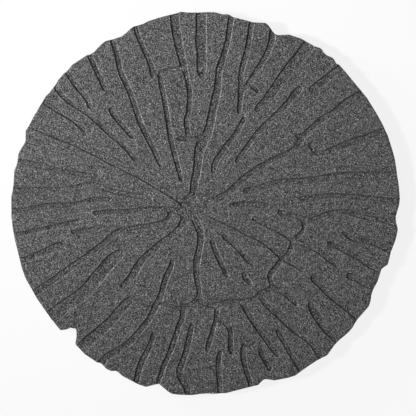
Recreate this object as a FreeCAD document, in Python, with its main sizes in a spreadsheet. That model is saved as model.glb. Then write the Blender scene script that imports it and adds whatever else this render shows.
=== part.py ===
# Garden stepping stone moulded in one piece from bonded rubber crumb.
# A wavy-edged round slab lies flat on the ground, and shallow channels in its
# top run out from a small hollow near the middle like the cracks of split rock.
# Frame: +Z up, origin under the middle of the slab, millimetres.
import FreeCAD
import Part

import math
import os

Vector = FreeCAD.Vector

# Driving sizes of the moulding, in millimetres.
SIZES = [
    ("width", 450.0),         # across the slab, left to right
    ("thickness", 18.0),      # underside to the top of the lands
    ("crack_depth", 1.9),     # lands down to the floor of a channel
    ("wall_run", 1.4),        # how far a channel's wall leans over its depth
    ("edge_ease", 1.5),       # bevel round the top of the rim
]

# The plan below is laid out on a slab about 450 mm wide, x to the right and
# y away from the viewer, and is then fitted to the width in the sheet.
RIM_RADIUS = 225.0            # the bulge of the rim between two of its points
RIM_STEP = 12.0               # length of the flats that make up such a bulge
RIM_MARGIN = 0.5              # how far the rim lies outside its laid-out points
WALL_MARGIN = 0.25            # the same for a channel's wall, at half its depth
OVERCUT = 1.0                 # how far a channel's tool stands above the lands
LEAST_FLOOR = 0.4             # least share of a channel's width left as floor

# The rim, clockwise from the top: the corners where it dips or turns.
RIM = [
    (-10, 220.5), (-8, 220), (0, 219.5), (3, 220.5), (11, 220.5), (15, 219),
    (20, 218), (26, 218), (29, 217), (32, 215), (42, 212), (55, 209),
    (59, 208.5), (70, 208), (73, 205.5), (79, 197), (82, 194.5), (86, 194),
    (92, 194), (97, 194.5), (111, 190), (126, 181.5), (128, 180.5),
    (132, 179.5), (135, 177.5), (137, 174), (140, 171), (147, 168),
    (148.5, 166.5), (152, 160.5), (155, 160), (161, 153), (171, 142),
    (175, 136), (186, 123), (199, 102), (211, 78), (213.5, 70), (221.5, 40),
    (222, 32), (225, 4), (224, -2), (220.5, -11), (220, -16), (220.5, -22),
    (222, -27), (222.5, -31), (221, -36), (220, -42), (214, -58), (213, -63),
    (213, -67), (211, -70.5), (204, -75.5), (198.5, -80), (199, -90.5),
    (193.5, -101), (192, -106), (191, -113), (189, -119), (180, -129),
    (176, -134), (173, -138.5), (170, -144), (165, -149.5), (155, -158),
    (150, -163), (145, -171), (141, -175.5), (130, -181), (120, -187.5),
    (104, -199), (86, -204), (80, -204.5), (75, -203.5), (70, -203),
    (67, -204), (61, -210), (55, -212), (48, -213), (40, -215), (25, -219),
    (10, -220), (3, -219.5), (-5, -220), (-15, -221.5), (-18, -220.5),
    (-30, -221), (-38, -220), (-43, -217), (-50, -210), (-53, -208.5),
    (-57, -209), (-63, -212.5), (-68, -212), (-77, -209), (-80, -206.5),
    (-95, -199.5), (-102, -193.5), (-109, -193.5), (-114, -191),
    (-118.5, -186), (-121, -184.5), (-125, -183.5), (-135, -178.5),
    (-139, -174), (-147.5, -166), (-149.5, -163), (-150, -159), (-148, -154),
    (-147, -149), (-148.5, -145), (-152, -142.5), (-156, -143.5),
    (-160, -145.5), (-167, -146.5), (-170, -144), (-178, -133), (-190, -120),
    (-194, -110), (-199, -101), (-207, -87), (-215, -63), (-216, -56),
    (-223.5, -15), (-223.5, -4), (-224, 2), (-223.5, 8), (-222, 14),
    (-221, 22), (-221, 30), (-220, 38), (-217, 45), (-215, 58), (-213, 63),
    (-209, 68), (-207, 72), (-207, 83.5), (-204, 88), (-190, 113), (-184, 123),
    (-180, 127), (-176, 132), (-174, 136), (-171, 139), (-170, 141.5),
    (-166, 145.5), (-162, 150.5), (-160, 151.5), (-153, 160), (-140, 169),
    (-136, 171), (-133, 171.5), (-128, 174.5), (-119, 184), (-115, 187),
    (-105, 189.5), (-96, 192.5), (-91, 196.5), (-87, 200.5), (-83, 203.5),
    (-77, 204), (-71, 207), (-67, 209.5), (-40, 217.5), (-36, 220), (-30, 220),
    (-28, 221), (-23, 221), (-20, 220),
]

# The channels, each a route of points along its middle: x, y and the width
# there at half depth, less the margins of its two walls. A route that leaves
# the slab runs on past the rim.
TOP_CRACKS = [
    [(-36, 226, 10), (-34.5, 208, 9.5), (-32.5, 195, 9.5), (-30.5, 184, 9),
     (-28, 173, 8.5), (-25.5, 163, 7), (-23.5, 155, 6)],
    [(-24, 158, 5), (-22.5, 151, 5), (-19.5, 139, 5), (-17.5, 130, 5),
     (-17.5, 120, 5), (-18.5, 110, 5), (-18.8, 104, 4.5), (-21.5, 98, 4.5),
     (-21.3, 90, 5), (-19.5, 82, 5), (-18.5, 75, 5)],
    [(-61, 150, 5), (-53, 152, 4.5), (-44, 153.5, 4.5), (-34, 154.5, 4.5),
     (-25, 156.5, 5)],
    [(-30, 75, 4), (-22, 74.5, 5), (-13, 74, 4.5), (-5, 76.5, 5), (-1, 77.5, 5)],
    [(-4.5, 226, 11), (-4.5, 200, 11), (-4.8, 187, 12), (-4, 177, 10.5),
     (-3.8, 165, 11), (-4, 156, 10.5), (-4, 150, 8)],
    [(-82.5, 214, 5), (-78, 195, 4.5), (-73.5, 184, 4.5), (-68.5, 174, 5),
     (-64.5, 165, 5), (-61.5, 157, 5), (-61, 151, 5), (-60.5, 147, 4)],
    [(-51.5, 151, 5), (-51.5, 144, 5), (-50, 134, 5), (-47.5, 124, 5),
     (-45.5, 112, 5), (-43.5, 100, 5), (-42, 90, 5), (-40.5, 80, 5),
     (-38, 68, 5), (-35.5, 58, 5), (-32.5, 47, 4.5), (-29.5, 36, 4.5),
     (-27, 27, 4)],
]

UPPER_RIGHT_CRACKS = [
    [(32, 222, 5.5), (28.5, 203, 5.5), (26.5, 189, 5.5), (24, 178, 5.5),
     (20.5, 167, 6), (17, 156, 7), (15.5, 146, 6.5), (14.5, 132, 7.5),
     (11.5, 118, 8.5), (9, 107, 8.5), (7.3, 97, 8.5), (5, 88, 9), (2.5, 79, 9.5),
     (-3.3, 70, 11.5), (-7.3, 57, 10), (-8.5, 44, 8.5), (-9.8, 33, 8),
     (-12.5, 22, 8), (-13.5, 8, 8)],
    [(55, 215, 5.5), (52, 196, 5), (50.3, 184, 5), (47.5, 172, 5.5),
     (44, 160, 5.5), (41.5, 149, 4.5), (41, 142, 4.5), (42.3, 131, 6.5),
     (41, 122, 5), (40, 112, 4.5), (39.5, 106, 4.5)],
    [(80.5, 209, 7), (78, 194, 6.5), (76.5, 186, 6.5), (74, 178, 6),
     (70, 169.5, 5.5), (65, 161, 5.3), (60, 153.5, 5), (55.5, 146, 5),
     (52, 140, 5), (47, 134, 5), (42, 130, 5)],
    [(52, 138, 4), (60, 130, 4)],
    [(125, 190, 14), (114, 174, 13), (106.7, 166.2, 12), (98.7, 155.3, 12.7),
     (90.7, 146.2, 11.5), (83.8, 136.5, 10), (78.6, 129.3, 10), (73, 121, 9),
     (66, 114.5, 8), (61, 109, 7)],
    [(109, 131.5, 7), (104.5, 126.5, 8), (100.2, 120, 7.5), (94, 113.5, 6.5),
     (88, 107.5, 5.7), (81.4, 101.2, 5.5), (74.7, 95.3, 5.3), (68.5, 89, 5),
     (62, 83, 5), (56.5, 76.5, 5), (51.4, 69.2, 4.3), (46.2, 61.8, 4.3),
     (41.5, 55, 4.5), (37, 49, 4)],
    [(164.6, 162, 7.5), (151.6, 152.6, 7.5), (143.6, 146.2, 7.5),
     (135.6, 140.2, 7.5), (129.5, 135.8, 7), (123.4, 131.4, 6)],
    [(45, 98, 4.5), (42, 91, 4.5), (36, 81, 4.8), (29.5, 72, 5),
     (24, 65, 5.5), (19.5, 58.5, 5.5), (13.5, 50, 6), (10.7, 44, 6),
     (10, 37.5, 5)],
    [(186.5, 129.7, 7.5), (173.5, 122.7, 7.5), (162.6, 116.6, 7),
     (154, 109.2, 6.5), (145.8, 102.8, 6.3), (138, 98.7, 6.2), (131, 94, 5.2),
     (125, 88.5, 5.3), (119, 82.5, 5.5), (113, 77, 6.5), (109, 70.5, 6),
     (103.6, 62.7, 4.7), (94.2, 57.6, 4.3), (84.3, 53, 4.3), (75, 48.5, 5.3),
     (66.2, 43.2, 5.5),
     (58, 38.5, 6), (50, 32.5, 6), (43, 27, 6), (36, 20.5, 6),
     (29.5, 14, 6.5), (21, 8, 7), (8, 1, 8)],
    [(215.4, 86, 6), (195.4, 80, 6.3), (183.6, 75, 6), (170.4, 71, 7),
     (158.4, 66.1, 6.5), (147.2, 61, 6.7), (138, 58.2, 5), (130.5, 57.5, 5),
     (125.5, 61.5, 5), (121.5, 68, 4)],
    [(114, 76, 5), (107, 78.5, 4.5)],
]

RIGHT_CRACKS = [
    [(230, 32, 8.5), (205, 32, 8.5), (185, 32, 8), (165, 32, 8),
     (150, 31, 7.5), (135, 28.5, 6.5), (120, 26, 7), (105, 25, 6.5),
     (90, 24.5, 7), (75.2, 21.6, 7), (62.2, 17, 7), (52, 15, 6.5), (47, 14, 5)],
    [(230, 2.5, 5), (210, 3.5, 4.5), (195, 5.5, 4.5), (180, 7, 4.5),
     (165, 8, 4.5), (150, 9, 4.5), (138, 8, 5), (127, 7, 6), (118, 5.3, 6),
     (111, 5.5, 4)],
    [(87, -10.5, 5), (100, -13, 5), (112, -17.3, 5), (122, -20, 5),
     (132, -16.2, 5), (140, -12.3, 4.5), (150, -10, 4.5), (165, -9.8, 5),
     (178, -14, 5), (190, -17.5, 5), (205, -19.5, 5), (230, -27, 5.5)],
    [(112.8, -17, 4.5), (114.8, -25, 4), (112.9, -32.7, 4), (107.8, -38, 4),
     (102.3, -42.7, 4.3)],
    [(31, -2, 5), (45, -1.5, 5.5), (60, -2, 5.5), (72, -2.5, 5)],
    [(58, -18, 5), (64, -21.5, 5), (72, -25.5, 5), (82, -30, 5),
     (91.5, -35, 5), (100, -42, 5), (102, -44.5, 5), (111, -46, 5),
     (121, -49.3, 6), (131, -54.2, 6.3), (137.4, -59.6, 6), (144.4, -65.6, 5.7),
     (152, -71.3, 5.3)],
    [(101, -42, 4.5), (100, -50, 4.5), (98, -56, 4.5), (92, -63, 5)],
    [(161, -34.5, 4.5), (167, -38.5, 5), (173, -42, 5), (181, -43.3, 5),
     (190, -43.8, 5), (198, -46.5, 5), (206, -51, 5), (222, -59, 5)],
    [(144, -46.5, 5), (152, -49.5, 5), (160, -53.5, 5), (168, -57.5, 5),
     (176, -62, 5), (184, -67.5, 5), (192, -73, 5), (208, -81, 5.5)],
    [(168, -84.5, 8), (176, -87.5, 7), (184, -92, 6.5), (202, -101, 6)],
]

LOWER_RIGHT_CRACKS = [
    [(-6, -7, 8), (4, -12, 5.5), (11.6, -16.2, 5), (20.7, -20.5, 4.7),
     (31, -25.5, 5), (41, -30.5, 5), (51, -35.5, 5), (61, -40.5, 4.5),
     (71, -46.5, 4.5), (79, -53.5, 4.5), (86, -60, 5), (90, -64, 5),
     (98, -67.5, 4.5), (105, -72, 4.5), (112, -76.5, 4.5)],
    [(90.6, -63.5, 5), (83.8, -72.2, 5), (77, -79.6, 5), (74.5, -85.2, 5),
     (77, -92, 4.5), (79.5, -99, 4.5)],
    [(-7.4, -112, 5.5), (2.8, -117, 5.3), (12, -118.7, 5), (19.3, -116.2, 5),
     (27, -113.5, 4.5), (36, -113, 4.5), (43, -114, 5), (50, -112.4, 4.5),
     (57.3, -110.2, 4.5), (63.2, -106.4, 5), (68.5, -102, 5), (75, -99, 5),
     (84, -99.5, 5), (92, -104, 5), (100, -110.5, 5), (105, -116, 4.5)],
    [(64, -104, 5.5), (65.5, -109.5, 5.5), (69.5, -116, 5), (77, -123.5, 5),
     (86, -131, 5), (93, -138, 5), (101, -146, 5), (109, -151.5, 5),
     (116, -155.5, 5), (122.5, -161, 5), (127.5, -168.5, 5),
     (139, -185, 5.5)],
    [(42, -113, 5), (48.3, -124, 5.5), (53, -132.2, 6), (58.3, -140.4, 5.5),
     (64, -149, 5), (70, -156.5, 5), (75, -164, 5), (80.5, -171, 5),
     (84.5, -175.5, 4)],
    [(126.6, -87.2, 8), (131.6, -91.3, 8), (137.4, -97.6, 8), (144.2, -104.8, 7.5),
     (151, -111, 7), (158, -116.5, 6.5), (165, -122.5, 6), (171, -128, 6),
     (184, -140, 6)],
    [(123.5, -119, 8), (126.5, -125.5, 9), (131.5, -133, 9.5),
     (137, -141, 9.5), (143, -148, 9), (149, -153.5, 8), (162, -165, 8)],
    [(84.5, -148.5, 5), (87, -153.5, 5), (91.5, -160, 5), (95.5, -167.5, 5),
     (100.5, -176, 5), (105.5, -184, 5), (116, -203, 5.5)],
    [(64.5, -171, 5), (67, -177, 5), (71, -184, 5), (75, -191, 5)],
    [(45.5, -164.5, 5), (44.1, -171, 5.5), (44.5, -178, 6), (46.2, -187, 5.5),
     (48.3, -195, 5), (51, -203, 5), (57, -221, 5.5)],
    [(18, -173, 4), (16, -179, 5), (15.2, -188, 5), (16, -197, 5),
     (17, -207, 5), (18, -228, 5.5)],
    [(13, -117, 5), (14, -127, 5), (12.4, -136.8, 4.3), (9.3, -145.6, 4.3),
     (7, -155, 5), (4.3, -163, 5), (3, -169, 4.5)],
    [(13.5, -135.5, 5), (21.5, -136, 5), (27.5, -141.5, 5), (30, -150, 5),
     (30, -160, 5), (29.8, -168, 5), (31, -172, 4)],
    [(22, -38.5, 4), (28, -43, 5), (35.4, -48.6, 5.5), (42.7, -55.8, 6),
     (48, -63.5, 5.5), (54.5, -69, 5)],
    [(8.5, -45.5, 5), (10.5, -51, 5), (13.5, -58, 5), (17, -66, 5),
     (20.5, -73, 5), (23, -79, 5), (25.5, -83, 4)],
    [(45, -82.5, 5), (47.7, -87.5, 5.5), (51.5, -91.5, 5)],
]

LOWER_LEFT_CRACKS = [
    [(-13, -14, 8), (-8, -26, 8), (-5, -34, 7), (-4.8, -42, 6.5),
     (-6, -50, 6.5), (-8, -60, 7), (-9.8, -70, 7), (-9.8, -80, 6.5),
     (-8.5, -90, 6), (-7, -98, 4.5), (-6.3, -106, 5), (-9, -113, 6),
     (-17, -117.5, 5), (-26, -121, 5)],
    [(-56, -114.5, 3), (-45, -117.5, 3), (-35, -120, 3), (-26, -122, 4)],
    [(-26.5, -119, 6), (-25.5, -128, 5.5), (-27, -135, 5), (-30.5, -143, 5),
     (-33, -151, 5), (-35.5, -159, 5.5), (-38.5, -167, 5.5),
     (-41.5, -175, 5), (-45.5, -183, 5), (-48.8, -191, 4.5),
     (-51, -198, 4), (-53, -204, 4), (-56.5, -218, 5)],
    [(-15, -142, 5), (-17, -149, 5.5), (-18.2, -157, 6), (-20.5, -166, 6),
     (-23, -176, 6), (-26.5, -185, 6.5), (-29, -192, 7), (-28.7, -198, 7),
     (-25.5, -205, 7), (-21.5, -211, 7), (-19.3, -218, 7), (-19, -230, 7)],
    [(-38, -68.4, 4.5), (-40, -75.4, 5.5), (-44.3, -84.2, 6), (-47.2, -93.2, 6),
     (-49.7, -102, 5), (-52, -110.4, 6.3), (-57.2, -119.2, 6.5),
     (-60.5, -127.5, 5.8), (-65.2, -135.6, 5.3), (-72.4, -144, 5.5),
     (-79.6, -152.8, 5.6), (-87.2, -161.2, 5.8), (-96, -167.5, 6),
     (-105, -172, 6.5), (-114, -178, 7), (-126, -192, 8)],
    [(-59.5, -152.2, 4.5), (-62, -160.4, 5), (-65.2, -168.6, 6),
     (-69.5, -176.6, 6.3), (-73.4, -184.5, 6.5), (-76.2, -192.3, 6), (-78.6, -202, 6), (-82, -216, 6)],
    [(-20, -13, 9), (-25.5, -22.5, 6.5), (-31.2, -30.7, 5.7), (-39.8, -38.2, 6),
     (-49, -44.4, 6), (-57.5, -52, 6.2), (-65.7, -58.8, 6.2), (-73.6, -67, 7.2),
     (-78.9, -75.2, 8), (-83.5, -82.9, 7.3), (-88.4, -89.6, 7), (-94, -95, 6)],
    [(-88, -112.5, 8.5), (-93.5, -119, 10), (-100, -126, 10), (-106.3, -133.8, 10),
     (-114, -141.6, 10), (-122.2, -148.9, 11.3), (-130.4, -155.6, 11.5),
     (-137.6, -162.4, 12), (-150, -175, 13)],
    [(-99, -59, 11), (-108, -66, 13.5), (-116.9, -76.6, 13.6), (-126, -87.5, 14.5),
     (-133.6, -96.9, 13.5), (-142.6, -105.5, 13.8), (-151.8, -112.2, 13.8),
     (-162, -119, 14), (-172, -127, 15), (-187, -139, 16)],
    [(-40.5, -7, 5), (-40.5, -15, 5), (-45, -21.5, 5), (-60, -25, 5),
     (-80, -28.5, 5), (-97, -31, 5), (-105, -35.5, 5), (-113, -42.5, 5),
     (-124, -51.5, 5), (-134.3, -59.5, 5.5), (-148, -69, 6), (-159, -77.1, 6),
     (-174, -88.3, 6.5), (-189, -98.4, 6.8), (-206, -109.4, 7)],
]

LEFT_CRACKS = [
    [(-126.5, -11.3, 4), (-118, -10.3, 4.2), (-108, -9.6, 4.5),
     (-95, -9.6, 4.5), (-82, -8.5, 5), (-68, -7.2, 5), (-55, -6.5, 5),
     (-45, -6.7, 5.5), (-36, -8.2, 6), (-23, -11, 8)],
    [(-230, -9.5, 5.5), (-210, -8, 5.5), (-195, -5.5, 5.5), (-180, -3, 6),
     (-165, -2.5, 5.7), (-152, -2, 5), (-142.3, 0.5, 4.7), (-132.3, 3.7, 4.7),
     (-122, 5.1, 4.7), (-111, 4.2, 3.5)],
    [(-230, 13.8, 6), (-200, 15, 6), (-180, 15.3, 5.5), (-163, 14.6, 6.3),
     (-150, 16.6, 6.8), (-139, 20, 7.5), (-130, 20.7, 8), (-121, 18.8, 5.5),
     (-110, 15.5, 5.5), (-100, 12, 5), (-88, 10, 5), (-75, 8, 5),
     (-63, 5, 4.5)],
    [(-226, 48.3, 5.5), (-208, 47.5, 5.5), (-197, 45.5, 5.5),
     (-187, 42.3, 5.5), (-178, 39.5, 5.5), (-168, 37.5, 5), (-158, 35.5, 5),
     (-148, 34, 5), (-137, 32.5, 5), (-126, 31, 4.5)],
    [(-229, -39, 4.5), (-207, -34, 4), (-192, -30.8, 4), (-178, -27.8, 4.2),
     (-165, -24.8, 4.2), (-154, -22.3, 4), (-147, -20.4, 3.5)],
    [(-151, -34, 5), (-140.1, -32.4, 4.5), (-130.2, -30.6, 4.7),
     (-121, -27.5, 4.5)],
    [(-225, -69.5, 6), (-204, -64, 6), (-193, -60, 6.5), (-183, -55.5, 7),
     (-175, -51.5, 7.5), (-167, -49.3, 8)],
]

UPPER_LEFT_CRACKS = [
    [(-217, 98, 11), (-197, 90, 10), (-184.5, 84.8, 10.5), (-171.3, 79.3, 11),
     (-159.5, 74.6, 10), (-147.8, 69.9, 9), (-136.8, 64.4, 9), (-124.6, 57.9, 9),
     (-111.4, 51.2, 9), (-99.4, 45, 9), (-87.5, 38.7, 9), (-76.4, 33.3, 8.3),
     (-65.4, 27, 8), (-56, 20.2, 6.3), (-46, 14, 5.7), (-36.1, 7.8, 5.5),
     (-22, -1, 7)],
    [(-181, 148, 5), (-170.2, 131.3, 4.7), (-164.8, 124.6, 4.7),
     (-157.4, 117.5, 4.3), (-148.6, 111.6, 4), (-138.8, 106.1, 4.5), (-131, 100.3, 5), (-123, 93, 5),
     (-115.5, 86, 5), (-108.4, 79.1, 4.5), (-99, 71.5, 5), (-91, 64, 5),
     (-85, 57, 4.5), (-81, 51, 4)],
    [(-198, 127, 5), (-181, 114, 5), (-172, 108, 5), (-164, 103.7, 5),
     (-156.5, 99.3, 5), (-149.5, 94.5, 5), (-143.5, 89, 5), (-139.5, 84.5, 4)],
    [(-166, 161, 5), (-154.8, 144.8, 5), (-149.8, 137.4, 5), (-144.4, 130.8, 5),
     (-138.8, 124.4, 5), (-134.8, 118.3, 5), (-133, 112, 4.5)],
    [(-138, 182, 5), (-130, 163.5, 5), (-126, 154.5, 5), (-121.7, 146, 5),
     (-118.2, 138.5, 5), (-115, 132, 4.5)],
    [(-108.5, 107.5, 4.5), (-106, 103, 5), (-102, 98, 5), (-97.3, 92.3, 5),
     (-92, 86.5, 5), (-87.5, 81, 5), (-84, 76.5, 4)],
    [(-111, 200, 5.5), (-104, 180.5, 5.5), (-100.8, 169, 5.5),
     (-99, 158.5, 5.5), (-96.5, 149.5, 5.5), (-92.5, 141, 5.5),
     (-87.7, 131, 5.5), (-83.7, 120.5, 5.5), (-80.2, 109.5, 5.5),
     (-76.5, 98.5, 5.5), (-72.5, 88.5, 5.5), (-67.5, 79, 5.5),
     (-62.3, 69, 5.5), (-57.7, 59.5, 5.5), (-54.3, 51.5, 5), (-51.5, 45, 4)],
]

CRACKS = (TOP_CRACKS + UPPER_RIGHT_CRACKS + RIGHT_CRACKS + LOWER_RIGHT_CRACKS
          + LOWER_LEFT_CRACKS + LEFT_CRACKS + UPPER_LEFT_CRACKS)

# The small hollow that the longest channels run into, at half its depth.
HOLLOW = [(-10, 15), (6, 7), (13, 2), (3, -11), (-8, -16), (-18, -21.5),
          (-23, -21), (-28, -18), (-29, -11), (-28, -4), (-28, 1),
          (-24, 7), (-17, 11)]


def make_sheet(doc):
    """Write the driving sizes to a sheet, one row each with its own alias."""
    sheet = doc.addObject("Spreadsheet::Sheet", "Sizes")
    for row, (alias, value) in enumerate(SIZES, start=1):
        sheet.set("A%d" % row, alias)
        sheet.set("B%d" % row, str(value))
        sheet.setAlias("B%d" % row, alias)
    doc.recompute()
    return sheet


def rim_stretch(start, end):
    """The rim from one corner to the next, bulging outwards as a shallow arc."""
    chord = end - start
    outward = Vector(-chord.y, chord.x, 0).normalize()
    steps = max(1, round(chord.Length / RIM_STEP))
    hidden = math.sqrt(RIM_RADIUS ** 2 - chord.Length ** 2 / 4)
    points = []
    for k in range(steps):
        along = chord.Length * (k / steps - 0.5)
        rise = math.sqrt(RIM_RADIUS ** 2 - along ** 2) - hidden
        points.append(start + chord * (k / steps) + outward * rise)
    return points


def inset(points, distance):
    """A closed outline, walked clockwise, with each side moved in."""
    moved = []
    for i, point in enumerate(points):
        before = (point - points[i - 1]).normalize()
        after = (points[(i + 1) % len(points)] - point).normalize()
        side_a = Vector(before.y, -before.x, 0)
        side_b = Vector(after.y, -after.x, 0)
        moved.append(point + (side_a + side_b) * (distance / (1 + side_a.dot(side_b))))
    return moved


def traced_rim():
    """The closed rim as laid out, before it is fitted to the sheet's width."""
    corners = [Vector(x, y, 0) for x, y in RIM]
    outline = []
    for start, end in zip(corners, corners[1:] + corners[:1]):
        outline += rim_stretch(start, end)
    return inset(outline, -RIM_MARGIN)


def plan_fit(sheet):
    """The scale and shift that bring the traced plan to its width, centred."""
    rim = traced_rim()
    left, right = min(p.x for p in rim), max(p.x for p in rim)
    near, far = min(p.y for p in rim), max(p.y for p in rim)
    scale = sheet.width / (right - left)
    return scale, Vector((left + right) / 2, (near + far) / 2, 0)


def fitted(point, fit):
    """A traced point in the slab's own frame."""
    scale, middle = fit
    return (Vector(point[0], point[1], 0) - middle) * scale


def crack_outline(route, fit):
    """One channel at half depth: its two walls and a blunt point at each end."""
    scale = fit[0]
    middle = [fitted(point, fit) for point in route]
    half = [point[2] * scale / 2 for point in route]
    runs = [(b - a).normalize() for a, b in zip(middle, middle[1:])]
    left, right = [], []
    for i, point in enumerate(middle):
        before = runs[max(i - 1, 0)]
        after = runs[min(i, len(runs) - 1)]
        across = Vector(-before.y - after.y, before.x + after.x, 0) * (1 / (1 + before.dot(after)))
        left.append(point + across * half[i])
        right.append(point - across * half[i])
    start_tip = middle[0] - runs[0] * half[0]
    end_tip = middle[-1] + runs[-1] * half[-1]
    start_side = Vector(-runs[0].y, runs[0].x, 0) * (half[0] / 2)
    end_side = Vector(-runs[-1].y, runs[-1].x, 0) * (half[-1] / 2)
    return (left + [end_tip + end_side, end_tip - end_side]
            + right[::-1] + [start_tip - start_side, start_tip + start_side])


def frustum(low, high, height):
    """A closed solid with plane leaning walls from one outline up to another."""
    raised = [point + Vector(0, 0, height) for point in high]
    faces = [Part.Face(Part.makePolygon(ring + ring[:1])) for ring in (low, raised)]
    for i in range(len(low)):
        k = (i + 1) % len(low)
        faces.append(Part.Face(Part.makePolygon([low[i], low[k], raised[k], raised[i], low[i]])))
    return Part.makeSolid(Part.makeShell(faces))


def channel_tool(outline, lean, depth):
    """One channel's tool, its floor at z = 0 and its outline at half its depth."""
    low = inset(outline, lean / 2 - WALL_MARGIN)
    high = inset(outline, -lean / 2 - lean * OVERCUT / depth - WALL_MARGIN)
    return frustum(low, high, depth + OVERCUT)


def make_slab(doc, sheet, fit):
    """The plain slab: its upright rim, and the bevelled band that tops it."""
    outline = [fitted(point, fit) for point in traced_rim()]
    plan = doc.addObject("Part::Feature", "RimPlan")
    plan.Shape = Part.Face(Part.makePolygon(outline + outline[:1]))

    upright = doc.addObject("Part::Extrusion", "UprightRim")
    upright.Base = plan
    upright.DirMode = "Custom"
    upright.Dir = Vector(0, 0, 1)
    upright.Solid = True
    upright.setExpression("LengthFwd", "Sizes.thickness - Sizes.edge_ease")

    band = doc.addObject("Part::Feature", "BevelBand")
    band.Shape = frustum(outline, inset(outline, sheet.edge_ease), sheet.edge_ease)
    band.setExpression("Placement.Base.z", "Sizes.thickness - Sizes.edge_ease")

    slab = doc.addObject("Part::MultiFuse", "Slab")
    slab.Shapes = [upright, band]
    slab.Refine = True
    return slab


def make_channels(doc, sheet, fit):
    """All the channels and the hollow as one cutting tool, its floor at z = 0."""
    depth = sheet.crack_depth
    hollow = [fitted(point, fit) for point in HOLLOW]
    tools = [channel_tool(hollow, sheet.wall_run, depth)]
    for route in CRACKS:
        narrowest = min(point[2] for point in route) * fit[0] + 2 * WALL_MARGIN
        lean = min(sheet.wall_run, narrowest * (1 - LEAST_FLOOR))
        tools.append(channel_tool(crack_outline(route, fit), lean, depth))
    channels = doc.addObject("Part::Feature", "Channels")
    channels.Shape = tools[0].multiFuse(tools[1:])
    channels.setExpression("Placement.Base.z", "Sizes.thickness - Sizes.crack_depth")
    doc.recompute()
    return channels


def make_stepping_stone(doc, sheet):
    """The moulding: the bevelled slab with every channel cut in its top."""
    fit = plan_fit(sheet)
    stone = doc.addObject("Part::Cut", "SteppingStone")
    stone.Base = make_slab(doc, sheet, fit)
    stone.Tool = make_channels(doc, sheet, fit)
    stone.Refine = True
    stone.Label = "stepping_stone"
    return stone


def check_document(doc):
    """Stop if any object has failed."""
    for item in doc.Objects:
        for fault in ("Invalid", "Error"):
            if fault in item.State:
                raise RuntimeError("%s is %s" % (item.Label, fault))


def write_piece(piece):
    """Write a piece's shape to its own file, once it is known to be sound."""
    shape = piece.Shape
    if shape.isNull() or not shape.isValid():
        raise RuntimeError("%s has no sound shape" % piece.Label)
    if len(shape.Solids) != 1:
        raise RuntimeError("%s is %d solids" % (piece.Label, len(shape.Solids)))
    shape.exportStep("parts/%s.step" % piece.Label)
    box = shape.BoundBox
    print("%s: %.1f x %.1f x %.1f mm, %.0f cm3, %d faces" % (
        piece.Label, box.XLength, box.YLength, box.ZLength,
        shape.Volume / 1000, len(shape.Faces)))


os.makedirs("parts", exist_ok=True)
doc = FreeCAD.newDocument("SteppingStone")
sheet = make_sheet(doc)
stepping_stone = make_stepping_stone(doc, sheet)
doc.recompute()
check_document(doc)
write_piece(stepping_stone)
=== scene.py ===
# %% [markdown]
# # A garden stepping stone of bonded rubber crumb
#
# The object is one moulding: a flat round slab, about as wide as a dinner tray,
# whose top is cut up by shallow channels like the cracks of split rock. It is
# made of small grains of rubber pressed together with a binder, so every face
# of it is finely grained, and only the worn edges of its channels shine a little.
#
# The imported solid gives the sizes: the wavy rim, the routes of the channels and
# their depth. It has no grain, and its rim is a plain bevel. This lesson reads
# the plan from it and works out one new closed surface, with crumbs, ragged
# channels and a rounded rim.

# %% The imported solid
import math

import bmesh
import bpy
import numpy as np
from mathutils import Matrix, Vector


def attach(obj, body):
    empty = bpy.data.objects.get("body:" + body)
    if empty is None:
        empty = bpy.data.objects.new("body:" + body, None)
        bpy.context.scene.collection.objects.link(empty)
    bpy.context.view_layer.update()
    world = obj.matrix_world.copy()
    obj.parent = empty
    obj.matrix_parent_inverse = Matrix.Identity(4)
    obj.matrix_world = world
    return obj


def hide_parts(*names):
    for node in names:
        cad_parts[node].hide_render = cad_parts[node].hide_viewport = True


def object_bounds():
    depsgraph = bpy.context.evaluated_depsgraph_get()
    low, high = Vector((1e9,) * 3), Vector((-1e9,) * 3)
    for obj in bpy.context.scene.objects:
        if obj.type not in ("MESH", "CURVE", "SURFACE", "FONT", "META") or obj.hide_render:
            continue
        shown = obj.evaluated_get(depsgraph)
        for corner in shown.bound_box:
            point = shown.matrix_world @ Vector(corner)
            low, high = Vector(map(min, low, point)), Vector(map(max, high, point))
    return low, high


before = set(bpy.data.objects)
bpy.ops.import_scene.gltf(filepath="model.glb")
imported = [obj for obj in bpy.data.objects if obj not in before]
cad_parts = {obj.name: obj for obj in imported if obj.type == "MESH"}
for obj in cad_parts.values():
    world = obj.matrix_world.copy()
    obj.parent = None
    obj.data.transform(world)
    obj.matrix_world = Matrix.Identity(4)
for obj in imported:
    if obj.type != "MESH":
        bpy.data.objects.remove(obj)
cad_low, cad_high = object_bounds()
MM = 0.001
HAIR = MM / 100                 # places closer than this are the same place
NODE = "stepping_stone"
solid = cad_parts[NODE]
print("solid %.1f x %.1f x %.1f mm" % tuple((cad_high - cad_low) / MM))

# %% [markdown]
# ## Reading the plan from the solid
#
# The solid is a heap of loose triangles. A copy of it is merged, so that each
# edge has a triangle on both sides, and then three kinds of edge tell all that
# is needed. A leaning wall has its foot where it meets the channel's floor and
# its brow where it meets the land, and the outline of the slab is where the
# underside meets the upright side. Reading them is better than writing the
# routes down again: if the solid changes, this surface follows it.

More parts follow.
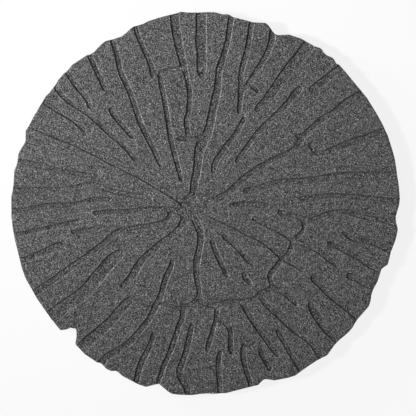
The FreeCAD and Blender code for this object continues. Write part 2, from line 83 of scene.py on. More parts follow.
# %% Triangles and edges of the solid
def merged_triangles(source):
    """Points and triangles of a mesh whose loose corners are joined."""
    work = bmesh.new()
    work.from_mesh(source.data)
    bmesh.ops.remove_doubles(work, verts=work.verts, dist=HAIR)
    mesh = bpy.data.meshes.new("reading")
    work.to_mesh(mesh)
    work.free()
    mesh.calc_loop_triangles()
    points = np.empty(len(mesh.vertices) * 3)
    mesh.vertices.foreach_get("co", points)
    corners = np.empty(len(mesh.loop_triangles) * 3, dtype=np.int64)
    mesh.loop_triangles.foreach_get("vertices", corners)
    bpy.data.meshes.remove(mesh)
    return points.reshape(-1, 3), corners.reshape(-1, 3)


def edge_pairs(triangles):
    """Every edge of a closed surface once, with the triangles on its two sides.

    Each edge belongs to two triangles, so once the edges are sorted by their
    ends, the two copies of each stand next to each other.
    """
    edges = np.sort(np.concatenate([triangles[:, [0, 1]], triangles[:, [1, 2]],
                                    triangles[:, [2, 0]]]), axis=1)
    owners = np.tile(np.arange(len(triangles)), 3)
    order = np.lexsort((edges[:, 1], edges[:, 0]))
    return edges[order][::2], owners[order].reshape(-1, 2)


points, triangles = merged_triangles(solid)
edges, sides = edge_pairs(triangles)
print("%d points, %d triangles, %d edges" % (len(points), len(triangles), len(edges)))

# %% How steep and how high each triangle is
LEAST_LENGTH = 1e-20            # keeps a sliver's normal from a division by zero
LYING, LEANING, UPRIGHT = 0.99, 0.1, 0.05      # upward shares of a normal that tell them apart
a, b, c = (points[triangles[:, i]] for i in range(3))
normals = np.cross(b - a, c - a)
normals /= np.maximum(np.linalg.norm(normals, axis=1, keepdims=True), LEAST_LENGTH)
rise = normals[:, 2]
height = (a + b + c)[:, 2] / 3
lying = rise > LYING
upright = np.abs(rise) < UPRIGHT
print("%d triangles lie flat and face up, %d stand upright" % (lying.sum(), upright.sum()))

# %% Levels of the slab
SUNKEN = 0.2 * MM                              # a floor lies at least this far below the lands
TOP = points[:, 2].max()                       # the lands
floor_like = lying & (height < TOP - SUNKEN)
FLOOR = np.median(height[floor_like])          # the floors of the channels
DEPTH = TOP - FLOOR
EASE = TOP - points[triangles[upright], 2].max()   # height of the bevel at the rim
leaning = (rise > LEANING) & ~lying
bevel = leaning & (points[triangles, 2].min(axis=1) > TOP - EASE - HAIR)
channel = floor_like | (leaning & ~bevel)
print("top %.2f, channels %.2f deep, bevel %.2f mm" % (TOP / MM, DEPTH / MM, EASE / MM))

# %% Feet and brows of the channel walls, and the outline
def edges_between(inside, outside=None):
    """Plan ends of the edges with one side in `inside` and the other in `outside`, or anywhere."""
    first, second = inside[sides[:, 0]], inside[sides[:, 1]]
    chosen = first != second
    if outside is not None:
        beyond = np.where(first, sides[:, 1], sides[:, 0])
        chosen &= outside[beyond]
    return points[edges[chosen]][:, :, :2]


floor_edges = edges_between(floor_like)
feet = edges_between(floor_like, channel)
channel_edges = edges_between(channel)
brows = edges_between(channel, ~upright)        # a channel that runs out over the rim has none there
outline = edges_between(rise < -LYING)[:, 0]
outline = outline[np.argsort(np.arctan2(outline[:, 1], outline[:, 0]))]
print("%d edges at the feet of walls, %d at their brows, %d corners on the rim"
      % (len(feet), len(brows), len(outline)))

# %% [markdown]
# ## The plan of the surface
#
# A disc can be gridded in rings and spokes, but those crowd at the middle and
# thin out at the rim. Here a square net is pressed into the disc instead: the
# square's own rings become the disc's rings, and each ring's cells are shared
# out evenly round it. All the cells come out about the same size, less than two
# millimetres across.

# %% The outline in any direction
def rim_radius(angle):
    """Distance from the middle to the outline: a ray at this angle cut by the side a-b.

    The ray (cos t, sin t) meets the side at (a x b) / (ray x (b - a)).
    """
    bearing = np.arctan2(outline[:, 1], outline[:, 0])
    after = np.searchsorted(bearing, angle) % len(outline)
    a, b = outline[after - 1], outline[after]
    ray = np.stack([np.cos(angle), np.sin(angle)], axis=1)
    step = b - a
    return ((a[:, 0] * b[:, 1] - a[:, 1] * b[:, 0])
            / (ray[:, 0] * step[:, 1] - ray[:, 1] * step[:, 0]))


def at_rim(angle, inset):
    """The plan place at this angle and this far in from the outline."""
    reach = rim_radius(angle) - inset
    return np.stack([reach * np.cos(angle), reach * np.sin(angle)], axis=1)


east = at_rim(np.zeros(1), 0)[0]
print("to the right the outline is %.1f mm from the middle" % (east[0] / MM))

# %% Squares pressed into a disc
HALF = 114                      # rings from the middle to the rim


def pressed_square():
    """Bearing and ring share of each crossing of the net.

    With u and v from -1 to 1 the ring is the larger of |u| and |v|. Towards +u
    the bearing is an eighth of a turn times v / u, and the square's other three
    sides are turned round from that one.
    """
    u, v = np.meshgrid(np.linspace(-1, 1, 2 * HALF + 1), np.linspace(-1, 1, 2 * HALF + 1),
                       indexing="ij")
    u, v = u.ravel(), v.ravel()
    ring = np.maximum(np.abs(u), np.abs(v))
    wide = np.abs(u) >= np.abs(v)
    with np.errstate(divide="ignore", invalid="ignore"):
        angle = np.where(wide, math.pi / 4 * v / u, math.pi / 2 - math.pi / 4 * u / v)
    angle = np.where(np.where(wide, u, v) < 0, angle + math.pi, angle)
    angle = np.where(ring == 0, 0.0, angle)
    return (angle + math.pi) % (2 * math.pi) - math.pi, ring


bearing, ring = pressed_square()
plan = at_rim(bearing, EASE) * ring[:, None]
spacing = math.sqrt(math.pi / len(plan)) * np.linalg.norm(outline, axis=1).mean()
print("%d places, about %.2f mm apart" % (len(plan), spacing / MM))

# %% [markdown]
# ## How far is it to the nearest wall?
#
# The whole relief of the top follows from two numbers at each place: how far it
# lies outside the nearest foot of a wall, and how far outside the nearest brow.
# Both are negative on a channel's floor and positive on the lands. On a wall
# the first is positive and the second negative, and their ratio tells how far
# up the wall the place is. A place is inside an outline if a line from it to
# the far right crosses the outline an odd number of times.

# %% Distance to a line
REACH = 6 * MM                  # walls further away than this make no difference


def nearest_on(segments, plan):
    """The distance from each place to the nearest segment, and the nearest place on it.

    The nearest place of a segment a-b to p is a + t (b - a), where t is the
    share (p - a).(b - a) / |b - a|^2, held between 0 and 1.
    """
    distance = np.full(len(plan), REACH)
    nearest = plan.copy()
    for start, end in segments:
        low = np.minimum(start, end) - REACH
        high = np.maximum(start, end) + REACH
        near = np.flatnonzero(((plan > low) & (plan < high)).all(axis=1))
        run = end - start
        share = np.clip((plan[near] - start) @ run / (run @ run), 0, 1)
        place = start + share[:, None] * run
        gap = np.linalg.norm(plan[near] - place, axis=1)
        closer = gap < distance[near]
        distance[near[closer]] = gap[closer]
        nearest[near[closer]] = place[closer]
    return distance, nearest


short_line = np.array([[[-5, 0], [5, 0]]]) * MM
beside = np.array([[0, 3]]) * MM
print("3 mm beside a line the distance is %.1f mm" % (nearest_on(short_line, beside)[0][0] / MM))

# %% Inside or outside
def enclosed(outline_edges, plan):
    """True where a line to the right crosses the outline's edges an odd number of times."""
    odd = np.zeros(len(plan), dtype=bool)
    x, y = plan.T
    for (ax, ay), (bx, by) in outline_edges:
        spans = (ay > y) != (by > y)
        if ay != by:
            odd ^= spans & (x < ax + (y - ay) * (bx - ax) / (by - ay))
    return odd


print("channels take up %.0f%% of the top" % (100 * enclosed(channel_edges, plan).mean()))

# %% [markdown]
# ## Crumbs
#
# Rubber crumb is sieved, so no grain is wider than two or three millimetres. The
# surface is uneven at that size and, more gently, over the width of several
# grains. A smooth random field gives both: random heights on the crossings of a
# square net, blended in between with an S-curve. Fields of several net sizes
# are added up. Every use of a field names its own seed, so the slab comes out
# the same each time.

# %% A smooth random field
CROSSINGS = 512                 # of the net each way, after which it starts again


def field(x, y, size, seed):
    """Random heights from -1 to 1 on a net of this size, blended between its crossings.

    Inside a square the corners are mixed by u and v, where a share t across
    the square counts as t^3 (6 t^2 - 15 t + 10), so no fold shows at its sides.
    """
    net = np.random.default_rng(seed).uniform(-1, 1, (CROSSINGS, CROSSINGS))
    u, v = x / size + CROSSINGS / 2, y / size + CROSSINGS / 2
    i, j = np.floor(u).astype(int), np.floor(v).astype(int)
    u, v = u - i, v - j
    u, v = (t ** 3 * (t * (t * 6 - 15) + 10) for t in (u, v))
    i, j = i % (CROSSINGS - 1), j % (CROSSINGS - 1)
    low = net[i, j] * (1 - u) + net[i + 1, j] * u
    high = net[i, j + 1] * (1 - u) + net[i + 1, j + 1] * u
    return low * (1 - v) + high * v


def summed_fields(plan, recipe):
    """Fields added up. A recipe is a list of net size, reach up and down, and seed."""
    return sum(reach * field(plan[:, 0], plan[:, 1], size, seed) for size, reach, seed in recipe)


sample = summed_fields(plan, [(5 * MM, 1 * MM, 0)])
print("a field of reach 1 mm goes from %.2f to %.2f mm" % (sample.min() / MM, sample.max() / MM))

# %% [markdown]
# ## Drawing the net to the walls
#
# Seen from above a wall is narrower than a cell of the net, so a plain net would
# turn it into a staircase. The cure has two halves. First each place that lies
# close to the foot or the brow of a wall is slid onto it. Later the cells that
# still span either line are cut along it. The real edges are made of crumbs, so
# both lines also stray outwards and inwards a little, side by side.

# %% Sliding places to the foot and the brow
SLIDE = 0.45 * MM               # places this near either line are moved onto it
WANDER = [(7 * MM, 0.2 * MM, 11), (2.6 * MM, 0.15 * MM, 12)]
LEAST_GAP = 1e-9                # metres, against a division by zero


def wall_distances(plan):
    """How far each place lies outside the straying feet and brows, and where it would meet them.

    Both lines stray by what the field says at the nearest foot, side by side.
    """
    distances, landings = [], []
    for segments, around in ((feet, floor_edges), (brows, channel_edges)):
        gap, nearest = nearest_on(segments, plan)
        sign = np.where(enclosed(around, plan), -1.0, 1.0)
        away = (plan - nearest) * (sign / np.maximum(gap, LEAST_GAP))[:, None]
        if not distances:
            stray = summed_fields(nearest, WANDER)
        distances.append(gap * sign - stray)
        landings.append(nearest + away * stray[:, None])
    return np.stack(distances), np.stack(landings)


def drawn_to_walls(plan):
    """The places with those near a line moved onto it, and their two distances then."""
    distances, landings = wall_distances(plan)
    closer = np.abs(distances).argmin(axis=0), np.arange(len(plan))
    near = np.abs(distances[closer]) < SLIDE
    moved = np.where(near[:, None], landings[closer], plan)
    return moved, np.where(near, distances - distances[closer], distances)


moved, distances = drawn_to_walls(plan)
print("%d places moved" % (moved != plan).any(axis=1).sum())

# %% The last ring, put back on the rim
square = 2 * HALF + 1
index = np.arange(square * square).reshape(square, square)
last_ring = np.concatenate([index[-1, :-1], index[:0:-1, -1], index[0, :0:-1], index[:-1, 0]])
last_ring = last_ring[np.argsort(bearing[last_ring])]
rim_bearing = np.arctan2(moved[last_ring, 1], moved[last_ring, 0])
moved[last_ring] = at_rim(rim_bearing, EASE)
furthest = np.linalg.norm(moved - plan, axis=1).max()
print("%d places on the rim, the furthest move is %.2f mm" % (len(last_ring), furthest / MM))

# %% [markdown]
# ## Rim, side and underside
#
# Past the last ring of the top the surface turns over the rounded rim, drops
# down the side, turns in at a small bevel and closes flat below. Every row goes
# round the slab with one place for each place of the last ring, so the whole
# skin is one closed piece.
#
# Each place is five numbers: x, y, the distances from a wall's foot and brow,
# and a ceiling. The ceiling is the height that the place has in a slab without
# channels: the level of the lands on top, and less and less down the rim.

# %% Rows from the rim to the middle of the underside
FOOT, BROW, CEILING = 2, 3, 4   # columns of the table of places, after x and y
TURNS = 3                       # steps round the rim's top edge
SIDE_ROWS = 9                   # steps down the side
FOOT_EASE = 0.8 * MM            # bevel where the side meets the underside
BELOW = [1.0, 0.94, 0.72, 0.4]  # rings of the underside, as shares of the radius
SIDE_GRAIN = [(9 * MM, 0.5 * MM, 24), (3.5 * MM, 0.5 * MM, 25), (2 * MM, 0.2 * MM, 26)]


def sunk_by(plan, grain):
    """How far the crumbs lie below the mould: half of all the reaches plus the fields."""
    return (sum(reach for size, reach, seed in grain) + summed_fields(plan, grain)) / 2


def row(place, gaps, level):
    """One row of the skin, all at one level."""
    return np.column_stack([place, gaps, np.full(len(place), float(level))])


def rim_rows():
    """Rows of places from the rim's top edge to the innermost ring below.

    Round the edge, by a turn t, a place is EASE (1 - sin t) in from the outline
    and EASE (1 - cos t) below the lands. Channels still cut the side's first row.
    """
    along = rim_bearing * cad_high.x
    clear = np.full((len(last_ring), 2), REACH)
    rows = []
    for step in range(1, TURNS):
        turn = math.pi / 2 * step / TURNS
        place = at_rim(rim_bearing, EASE * (1 - math.sin(turn)))
        gaps = wall_distances(place)[0].T
        rows.append(row(place, gaps, TOP - EASE * (1 - math.cos(turn))))
    for level in np.linspace(TOP - EASE, FOOT_EASE, SIDE_ROWS + 1):
        unrolled = np.column_stack([along, np.full(len(along), level)])
        rows.append(row(at_rim(rim_bearing, sunk_by(unrolled, SIDE_GRAIN)), gaps, level))
        gaps = clear
    for share in BELOW:
        rows.append(row(at_rim(rim_bearing, FOOT_EASE) * share, clear, 0))
    return rows


rows = rim_rows()
print("%d rows of %d places" % (len(rows), len(last_ring)))

# %% [markdown]
# ## One closed skin
#
# Each cell of the net becomes two triangles, by the shorter diagonal that folds
# neither of them over. Between two rows the skin is a band of triangles, and a
# fan round one last place closes it below.

# %% Triangles of the top
def cross(first, second):
    """The cross product of plan vectors, twice the area that they span."""
    return first[:, 0] * second[:, 1] - first[:, 1] * second[:, 0]


def cut_cells(corners, plan):
    """Two triangles for each four-cornered cell a, b, c, d, along a-c or along b-d."""
    a, b, c, d = (plan[corners[:, i]] for i in range(4))
    by_ac = np.minimum(cross(b - a, c - a), cross(c - a, d - a))
    by_bd = np.minimum(cross(b - a, d - a), cross(c - b, d - b))
    shorter = np.linalg.norm(c - a, axis=1) <= np.linalg.norm(d - b, axis=1)
    sound = (by_ac > 0) & (by_bd > 0)
    use_ac = np.where(sound, shorter, by_ac > by_bd)[:, None]
    first = np.where(use_ac, corners[:, [0, 1, 2]], corners[:, [0, 1, 3]])
    second = np.where(use_ac, corners[:, [0, 2, 3]], corners[:, [1, 2, 3]])
    return np.concatenate([first, second])


cells = np.stack([index[:-1, :-1], index[1:, :-1], index[1:, 1:], index[:-1, 1:]], axis=-1)
top_faces = cut_cells(cells.reshape(-1, 4), moved)
print("%d triangles on the top" % len(top_faces))

# %% The whole skin
def skin():
    """Places and triangles of the whole slab, faces outwards."""
    top = np.column_stack([moved, distances.T, np.full(len(moved), TOP)])
    every = np.concatenate([top] + rows + [[[0, 0, REACH, REACH, 0]]])
    pieces = [top_faces]
    upper = last_ring
    for number in range(len(rows)):
        lower = len(top) + number * len(last_ring) + np.arange(len(last_ring))
        pieces.append(np.stack([upper, lower, np.roll(upper, -1)], axis=1))
        pieces.append(np.stack([lower, np.roll(lower, -1), np.roll(upper, -1)], axis=1))
        upper = lower
    centre = np.full(len(upper), len(every) - 1)
    pieces.append(np.stack([upper, centre, np.roll(upper, -1)], axis=1))
    return every, np.concatenate(pieces)


every, faces = skin()
print("%d places, %d triangles before the cuts" % (len(every), len(faces)))

# %% [markdown]
# ## Cutting along the walls
#
# The skin is now cut along the feet and along the brows, the two lines where a
# distance is zero. A triangle that a line crosses has one corner alone on its
# side. The line cuts off that corner, and what is left has four corners and is
# halved. If the line runs through a corner, the triangle just falls in two.

# %% Cuts along the feet and the brows
NEAR = 0.1 * MM                 # a corner this near a line counts as on it


def cut_along(every, faces, column):
    """Split the triangles in which the distance in this column changes its sign.

    A corner nearer than NEAR is first put on the line. With v the distance, the
    line meets the edge from a to b at the share v_a / (v_a - v_b) of its length.
    """
    value = every[:, column]
    value[np.abs(value) < NEAR] = 0
    side = np.sign(value)
    ends = np.stack([faces, np.roll(faces, -1, axis=1)], axis=2)
    crossed = side[ends[..., 0]] * side[ends[..., 1]] < 0
    pairs, which = np.unique(np.sort(ends[crossed], axis=1), axis=0, return_inverse=True)
    a, b = pairs.T
    share = (value[a] / (value[a] - value[b]))[:, None]
    fresh = every[a] + share * (every[b] - every[a])
    middle = np.zeros(crossed.shape, dtype=int)
    middle[crossed] = len(every) + which.ravel()
    count = crossed.sum(axis=1)
    pieces = [faces[count == 0]]

    # One edge is crossed, from p to q at m, and the line leaves through z.
    one = count == 1
    turn = (np.argmax(crossed[one], axis=1)[:, None] + np.arange(3)) % 3
    p, q, z = np.take_along_axis(faces[one], turn, 1).T
    m = np.take_along_axis(middle[one], turn, 1)[:, 0]
    pieces += [np.stack([p, m, z], axis=1), np.stack([m, q, z], axis=1)]

    # Two edges are crossed, at m and n, and cut one corner off the side p-q.
    two = count == 2
    turn = (np.argmin(crossed[two], axis=1)[:, None] + 2 + np.arange(3)) % 3
    alone, p, q = np.take_along_axis(faces[two], turn, 1).T
    m, _, n = np.take_along_axis(middle[two], turn, 1).T
    pieces += [np.stack([alone, m, n], axis=1), np.stack([m, p, q], axis=1),
               np.stack([m, q, n], axis=1)]
    return np.concatenate([every, fresh]), np.concatenate(pieces)


for column in (FOOT, BROW):
    every, faces = cut_along(every, faces, column)
print("%d places, %d triangles after them" % (len(every), len(faces)))

# %% [markdown]
# ## The height of the top
#
# The height rises in a straight line from the foot of a wall to its brow. The
# crumbs are then pressed into it. They only ever lower the surface, so that the
# slab stays inside its mould.

# %% Heights
GRAIN = [(14 * MM, 0.07 * MM, 21), (5 * MM, 0.05 * MM, 22), (2.6 * MM, 0.05 * MM, 23),
         (1.7 * MM, 0.04 * MM, 27)]


def up_the_wall(every):
    """0 on a floor, 1 on a land, and on a wall the share f / (f - b) of its height.

    Here f is the distance outside its foot and b, which is negative, that
    outside its brow.
    """
    above_foot = np.maximum(every[:, FOOT], 0)
    below_brow = np.minimum(every[:, BROW], 0)
    return above_foot / np.maximum(above_foot - below_brow, LEAST_GAP)


def height_of(every):
    """The lower of the channelled top and the ceiling, and on the top less the grain."""
    level = np.minimum(FLOOR + DEPTH * up_the_wall(every), every[:, CEILING])
    on_the_top = level > TOP - EASE - DEPTH
    return np.where(on_the_top, level - sunk_by(every[:, :2], GRAIN), level)


places = np.column_stack([every[:, :2], height_of(every)])
print("heights from %.2f to %.2f mm" % (places[:, 2].min() / MM, places[:, 2].max() / MM))

# %% Volume and folds
CUBIC_CM = (10 * MM) ** 3
on_top = (every[faces, CEILING] > TOP - HAIR).all(axis=1)
flat = places[faces[on_top]][:, :, :2]
folded = cross(flat[:, 1] - flat[:, 0], flat[:, 2] - flat[:, 0]) < 0
corner = places[faces]
volume = np.einsum("ij,ij->i", corner[:, 0], np.cross(corner[:, 1], corner[:, 2])).sum() / 6
print("%.0f cm3, %d triangles folded over on the top" % (volume / CUBIC_CM, folded.sum()))

# %% [markdown]
# ## The piece
#
# Places and triangles become one mesh. It is shaded as smooth, but the feet and
# brows of the walls stay crisp, because a fold of more than 35 degrees counts as
# an edge. The mesh also carries three numbers for the finish: how deep in a
# channel each place lies, and its distances from a brow and from a foot. The
# piece stands for the plain solid and lies where that lies.

# %% The mesh
SHARP = math.radians(35)        # folds sharper than this are shaded as edges


def mesh_from(name, places, faces):
    """A mesh of triangles from whole arrays."""
    mesh = bpy.data.meshes.new(name)
    mesh.vertices.add(len(places))
    mesh.vertices.foreach_set("co", places.astype(np.float32).ravel())
    mesh.loops.add(len(faces) * 3)
    mesh.loops.foreach_set("vertex_index", faces.astype(np.int32).ravel())
    mesh.polygons.add(len(faces))
    mesh.polygons.foreach_set("loop_start", np.arange(0, len(faces) * 3, 3, dtype=np.int32))
    mesh.update(calc_edges=True)
    mesh.validate()
    mesh.polygons.foreach_set("use_smooth", np.ones(len(mesh.polygons), dtype=bool))
    mesh.set_sharp_from_angle(angle=SHARP)
    return mesh


crumb_stone = bpy.data.objects.new("crumb_stone", mesh_from("crumb_stone", places, faces))
print("%s has %d triangles" % (crumb_stone.name, len(crumb_stone.data.polygons)))

# %% What the mesh carries, and what the piece stands for
carried = {"depth_share": 1 - up_the_wall(every), "from_brow": every[:, BROW],
           "from_foot": every[:, FOOT]}
for label, value in carried.items():
    told = crumb_stone.data.attributes.new(label, "FLOAT", "POINT")
    told.data.foreach_set("value", value.astype(np.float32))
bpy.context.scene.collection.objects.link(crumb_stone)
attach(crumb_stone, "root")
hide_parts(NODE)
print("it carries", ", ".join(carried))

# %% [markdown]
# ## The finish
#
# Bonded crumb is dark grey and matt. Each grain has its own shade: most are
# grey, some nearly black, a few pale with dust or a lighter rubber. Between
# them lie finer scraps. The shade of a grain is the random colour of a Voronoi
# cell about as large as the small grains, and the cell's distance also gives
# the grain its rounded height. Both come out of one node group, because they
# must agree.

# %% An empty node group
GRAINS_PER_METRE = 1400.0


def new_group(name, inputs, outputs):
    """An empty node group with named inputs and outputs, and the nodes of those."""
    group = bpy.data.node_groups.new(name, "ShaderNodeTree")
    for label, kind, value in inputs:
        socket = group.interface.new_socket(label, in_out="INPUT", socket_type=kind)
        if value is not None:
            socket.default_value = value
    for label, kind in outputs:
        group.interface.new_socket(label, in_out="OUTPUT", socket_type=kind)
    return group, group.nodes.new("NodeGroupInput"), group.nodes.new("NodeGroupOutput")


bonded_crumb, given, result = new_group(
    "Bonded crumb",
    [("Place", "NodeSocketVector", None), ("Grains per metre", "NodeSocketFloat", GRAINS_PER_METRE)],
    [("Shade", "NodeSocketFloat"), ("Height", "NodeSocketFloat")])
print("%s has %d sockets" % (bonded_crumb.name, len(bonded_crumb.interface.items_tree)))

# %% Grains and scraps
DISORDER = 0.7                  # 0 sets the grains in rows, 1 scatters them
SCRAPS_PER_GRAIN = 1.7
SCRAP_DETAIL = 3.0


def math_node(tree, operation, first, second):
    """A Math node; each operand is a number or another node's output."""
    node = tree.nodes.new("ShaderNodeMath")
    node.operation = operation
    for slot, value in enumerate((first, second)):
        if isinstance(value, (int, float)):
            node.inputs[slot].default_value = value
        else:
            tree.links.new(value, node.inputs[slot])
    return node.outputs[0]


def grains_and_scraps(group, given):
    """Voronoi cells for the grains, and a finer noise for the scraps between them."""
    grain = group.nodes.new("ShaderNodeTexVoronoi")
    grain.inputs["Randomness"].default_value = DISORDER
    group.links.new(given.outputs["Place"], grain.inputs["Vector"])
    group.links.new(given.outputs["Grains per metre"], grain.inputs["Scale"])
    scraps = group.nodes.new("ShaderNodeTexNoise")
    scraps.inputs["Detail"].default_value = SCRAP_DETAIL
    finer = math_node(group, "MULTIPLY", given.outputs["Grains per metre"], SCRAPS_PER_GRAIN)
    group.links.new(given.outputs["Place"], scraps.inputs["Vector"])
    group.links.new(finer, scraps.inputs["Scale"])
    return grain, scraps


grain, scraps = grains_and_scraps(bonded_crumb, given)
print("the smallest grains are %.1f mm wide" % (1 / GRAINS_PER_METRE / MM))

# %% Shade and height of the crumbs
GRAIN_CONTRAST = 2.0            # how much most grains differ from the middle shade
PALE, RARITY = 5.5, 9.0         # how pale the pale grains are, and how few
SCRAP_CONTRAST = 2.0
MIDDLE_SHADE, DARKEST = 0.46, 0.05


def mix_crumbs(group, grain, scraps, result):
    """The group's two answers, from a grain's random red, green and blue.

    Most of the shade is red + green - 1, which is seldom far from 0. A high
    power of blue adds the pale grains, because it is near 0 for all the others.
    The height falls with the distance from a grain's middle. The scraps are
    added to both.
    """
    tint = group.nodes.new("ShaderNodeSeparateColor")
    group.links.new(grain.outputs["Color"], tint.inputs["Color"])
    even = math_node(group, "ADD", tint.outputs["Red"], tint.outputs["Green"])
    even = math_node(group, "SUBTRACT", even, 1.0)
    pale = math_node(group, "POWER", tint.outputs["Blue"], RARITY)
    fine = math_node(group, "SUBTRACT", scraps.outputs["Fac"], 0.5)
    shade = math_node(group, "MULTIPLY", even, GRAIN_CONTRAST)
    shade = math_node(group, "ADD", shade, math_node(group, "MULTIPLY", pale, PALE))
    shade = math_node(group, "ADD", shade, math_node(group, "MULTIPLY", fine, SCRAP_CONTRAST))
    shade = math_node(group, "ADD", shade, MIDDLE_SHADE)
    group.links.new(math_node(group, "MAXIMUM", shade, DARKEST), result.inputs["Shade"])
    dome = math_node(group, "MULTIPLY", grain.outputs["Distance"], -1.0)
    group.links.new(math_node(group, "ADD", dome, fine), result.inputs["Height"])


mix_crumbs(bonded_crumb, grain, scraps, result)
print("%s is made of %d nodes" % (bonded_crumb.name, len(bonded_crumb.nodes)))

# %% Rubber crumb
def crumb_material():
    """Matt rubber with the crumb group in it, which reads the slab's own coordinates."""
    material = bpy.data.materials.new("rubber_crumb")
    material.use_nodes = True
    tree = material.node_tree
    tree.nodes["Principled BSDF"].inputs["Specular IOR Level"].default_value = 0.5
    here = tree.nodes.new("ShaderNodeTexCoord")
    crumb = tree.nodes.new("ShaderNodeGroup")
    crumb.node_tree = bonded_crumb
    tree.links.new(here.outputs["Object"], crumb.inputs["Place"])
    return material, crumb


rubber_crumb, crumb = crumb_material()
tree = rubber_crumb.node_tree
shader = tree.nodes["Principled BSDF"]
crumb_stone.data.materials.append(rubber_crumb)
print("%s is on %s" % (rubber_crumb.name, crumb_stone.name))

# %% [markdown]
# ## Painted shade and wear
#
# The floors of the channels are painted a little darker, and the feet of their
# walls darker still: painted shade, for the shade that gathers in these hollows.
# Shoes have rubbed the brows, and there the crumbs are flattened and shinier, so
# a brow that faces the light shows as a thin pale line. The shade along the feet
# and the wear of the brows fade out with the distance from their line, which the
# mesh carries along. The line of painted shade is as ragged as the crumbs,
# because the height of the grain is added to that distance.

# %% Painted shade on the floors and along the feet
STONE_GREY = 0.098
CHANNEL_PAINTED_SHADE = 0.05             # painted shade: how much darker the floors of the channels are
FOOT_PAINTED_SHADE = 0.4               # painted shade: and how much darker still the feet of their walls
FOOT_SHADE_REACH = 0.7 * MM         # how far from a foot that painted shade reaches
SHADE_LINE_RAGGED = 0.5 * MM               # how far the crumbs push the line of painted shade about


def mesh_value(tree, label):
    """A number that the mesh carries."""
    told = tree.nodes.new("ShaderNodeAttribute")
    told.attribute_name = label
    return told.outputs["Fac"]


def near_line(tree, distance, reach):
    """1 on a line and 0 away from it: 1 - |distance| / reach, held above 0."""
    gap = math_node(tree, "ABSOLUTE", distance, 0.0)
    share = math_node(tree, "MULTIPLY", gap, 1 / reach)
    return math_node(tree, "MAXIMUM", math_node(tree, "SUBTRACT", 1.0, share), 0.0)


def painted_shade_tone(tree, crumb):
    """The crumbs' grey times 1 - (the painted shade on the floor + the painted shade along the
    foot).
    """
    floor_painted_shade = math_node(tree, "MULTIPLY", mesh_value(tree, "depth_share"), CHANNEL_PAINTED_SHADE)
    stray = math_node(tree, "MULTIPLY", crumb.outputs["Height"], SHADE_LINE_RAGGED)
    from_shade_line = math_node(tree, "ADD", mesh_value(tree, "from_foot"), stray)
    foot_shade = math_node(tree, "MULTIPLY", near_line(tree, from_shade_line, FOOT_SHADE_REACH), FOOT_PAINTED_SHADE)
    unshaded_share = math_node(tree, "SUBTRACT", 1.0, math_node(tree, "ADD", floor_painted_shade, foot_shade))
    tone = math_node(tree, "MULTIPLY", crumb.outputs["Shade"], STONE_GREY)
    return math_node(tree, "MULTIPLY", tone, unshaded_share)


# painted shade: the floors of the channels and the feet of their walls are darkened in the base
# colour
tone = painted_shade_tone(tree, crumb)
grey = tree.nodes.new("ShaderNodeCombineColor")
for part in ("Red", "Green", "Blue"):
    tree.links.new(tone, grey.inputs[part])
tree.links.new(grey.outputs["Color"], shader.inputs["Base Color"])
print("dirt reaches %.1f mm from a foot" % (FOOT_SHADE_REACH / MM))

# %% Worn brows
BUMP = 0.6 * MM                 # height of a bump of one
WORN_REACH = 0.8 * MM           # how far from a brow its wear is seen
WORN_DEPTH = 0.25 * MM          # how much is gone at the brow itself
POLISH_POWER = 0.5              # the polish spreads wide
LOSS_POWER = 2.0                # and the loss keeps close to the brow
ROUGH, WORN_ROUGH = 0.88, 0.4


def worn_brows(tree, crumb):
    """Roughness and height of the crumbs: smoother, flatter and lower towards a brow.

    With w from 0 to 1 on the brow, the polish is w^0.5 and the loss w^2.
    """
    worn = near_line(tree, mesh_value(tree, "from_brow"), WORN_REACH)
    smooth = math_node(tree, "POWER", worn, POLISH_POWER)
    polish = math_node(tree, "MULTIPLY", smooth, ROUGH - WORN_ROUGH)
    left = math_node(tree, "SUBTRACT", 1.0, smooth)
    lumps = math_node(tree, "MULTIPLY", crumb.outputs["Height"], left)
    loss = math_node(tree, "POWER", worn, LOSS_POWER)
    gone = math_node(tree, "MULTIPLY", loss, WORN_DEPTH / BUMP)
    return math_node(tree, "SUBTRACT", ROUGH, polish), math_node(tree, "SUBTRACT", lumps, gone)


roughness, relief = worn_brows(tree, crumb)
bump = tree.nodes.new("ShaderNodeBump")
bump.inputs["Distance"].default_value = BUMP
bump.inputs["Strength"].default_value = 1.0
tree.links.new(roughness, shader.inputs["Roughness"])
tree.links.new(relief, bump.inputs["Height"])
tree.links.new(bump.outputs["Normal"], shader.inputs["Normal"])
print("wear reaches %.1f mm from a brow" % (WORN_REACH / MM))

# %% [markdown]
# ## Ground
#
# The slab lies on white. The floor's own colour is a pale grey, so that it takes
# the slab's shadow, and wherever the camera or a reflection sees it, most of
# that grey is replaced by a glow of strength 1, which is white.

# %% White ground
GROUND_WIDTH = 4.0
PAPER = 0.8                     # the floor's own shade
GLOW_SHARE = 0.85               # how much of what the camera sees is glow


def ground_sheet():
    """One square on the level of the slab's underside."""
    half = GROUND_WIDTH / 2
    ground = bpy.data.objects.new("ground", bpy.data.meshes.new("ground"))
    ground.data.from_pydata([(-half, -half, 0), (half, -half, 0), (half, half, 0), (-half, half, 0)],
                            [], [(0, 1, 2, 3)])
    bpy.context.scene.collection.objects.link(ground)
    return ground


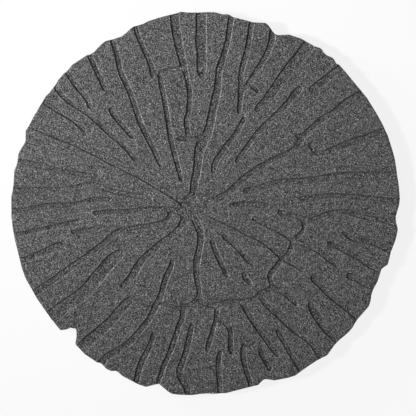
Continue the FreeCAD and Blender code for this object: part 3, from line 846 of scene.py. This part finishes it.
def white_paper():
    """Pale paper that the camera sees as white, but for the slab's soft shadow."""
    material = bpy.data.materials.new("white_ground")
    material.use_nodes = True
    tree = material.node_tree
    tree.nodes.clear()
    paper = tree.nodes.new("ShaderNodeBsdfDiffuse")
    paper.inputs["Color"].default_value = (PAPER, PAPER, PAPER, 1)
    glow = tree.nodes.new("ShaderNodeEmission")
    glow.inputs["Color"].default_value = (1, 1, 1, 1)
    path = tree.nodes.new("ShaderNodeLightPath")
    seen = path.outputs["Is Camera Ray"]
    for ray in ("Is Glossy Ray", "Is Transmission Ray"):
        seen = math_node(tree, "MAXIMUM", seen, path.outputs[ray])
    mix = tree.nodes.new("ShaderNodeMixShader")
    tree.links.new(math_node(tree, "MULTIPLY", seen, GLOW_SHARE), mix.inputs[0])
    tree.links.new(paper.outputs[0], mix.inputs[1])
    tree.links.new(glow.outputs[0], mix.inputs[2])
    out = tree.nodes.new("ShaderNodeOutputMaterial")
    tree.links.new(mix.outputs[0], out.inputs["Surface"])
    return material


ground = ground_sheet()
ground.data.materials.append(white_paper())
print("ground %.0f m wide" % GROUND_WIDTH)

# %% [markdown]
# ## Light
#
# The main light comes from the left, nearly halfway up the sky, so the left
# walls of the channels are dark and the right walls catch it. A weaker light,
# low down and a little further back, hardly reaches the lands but grazes the
# walls that face it. Both stand near enough that the far side of the slab is
# darker than the near side. A pale sky fills the shadows.

# %% Lamps and sky
LAMP_DISTANCE = 2.5
LAMP_SIZE = 0.25
LAMP_SPREAD = math.radians(42)
SKY_STRENGTH = 0.24
LAMPS = [("window_left", (-1.0, 0.0, 0.92), 3.6, (-0.02, 0.2, 0)),
         ("window_low", (-0.93, 0.37, 0.21), 2.25, (0, 0, 0))]   # name, direction, watts, aim


def soft_lamp(name, direction, power, aim):
    """A square lamp in this direction from the slab, turned to a place on the ground."""
    lamp = bpy.data.lights.new(name, "AREA")
    lamp.size = LAMP_SIZE
    lamp.energy = power
    lamp.spread = LAMP_SPREAD
    holder = bpy.data.objects.new(name, lamp)
    bpy.context.scene.collection.objects.link(holder)
    holder.location = np.array(direction) / np.linalg.norm(direction) * LAMP_DISTANCE
    sight = holder.location - Vector(aim)
    holder.rotation_mode = "QUATERNION"
    holder.rotation_quaternion = sight.to_track_quat("Z", "Y")
    above = math.degrees(math.asin(holder.location.z / LAMP_DISTANCE))
    print("%s: %.2f W, %.0f degrees up" % (name, power, above))


for lamp in LAMPS:
    soft_lamp(*lamp)
sky = bpy.data.worlds.new("sky")
sky.use_nodes = True
sky.node_tree.nodes["Background"].inputs["Color"].default_value = (1, 1, 1, 1)
sky.node_tree.nodes["Background"].inputs["Strength"].default_value = SKY_STRENGTH
bpy.context.scene.world = sky
bpy.context.scene.view_settings.view_transform = "Standard"

# %% [markdown]
# ## Camera
#
# The slab is seen from straight above. The picture's width, measured on the
# slab's top, and the camera's height give the lens: a long one, far enough off
# that the side of the slab is hardly seen.

# %% Camera
SEEN_WIDTH = 480.5 * MM         # the picture's width on the slab's top
AIM = (3.0 * MM, -5.3 * MM)     # the picture's middle, from the slab's middle
CAMERA_HEIGHT = 2.6
SENSOR_WIDTH = 36.0             # millimetres, as the lens is given in
camera_data = bpy.data.cameras.new("camera")
camera_data.sensor_width = SENSOR_WIDTH
camera_data.lens = SENSOR_WIDTH * (CAMERA_HEIGHT - TOP) / SEEN_WIDTH
camera = bpy.data.objects.new("camera", camera_data)
camera.location = (AIM[0], AIM[1], CAMERA_HEIGHT)
bpy.context.scene.collection.objects.link(camera)
bpy.context.scene.camera = camera
print("lens %.0f mm" % camera_data.lens)
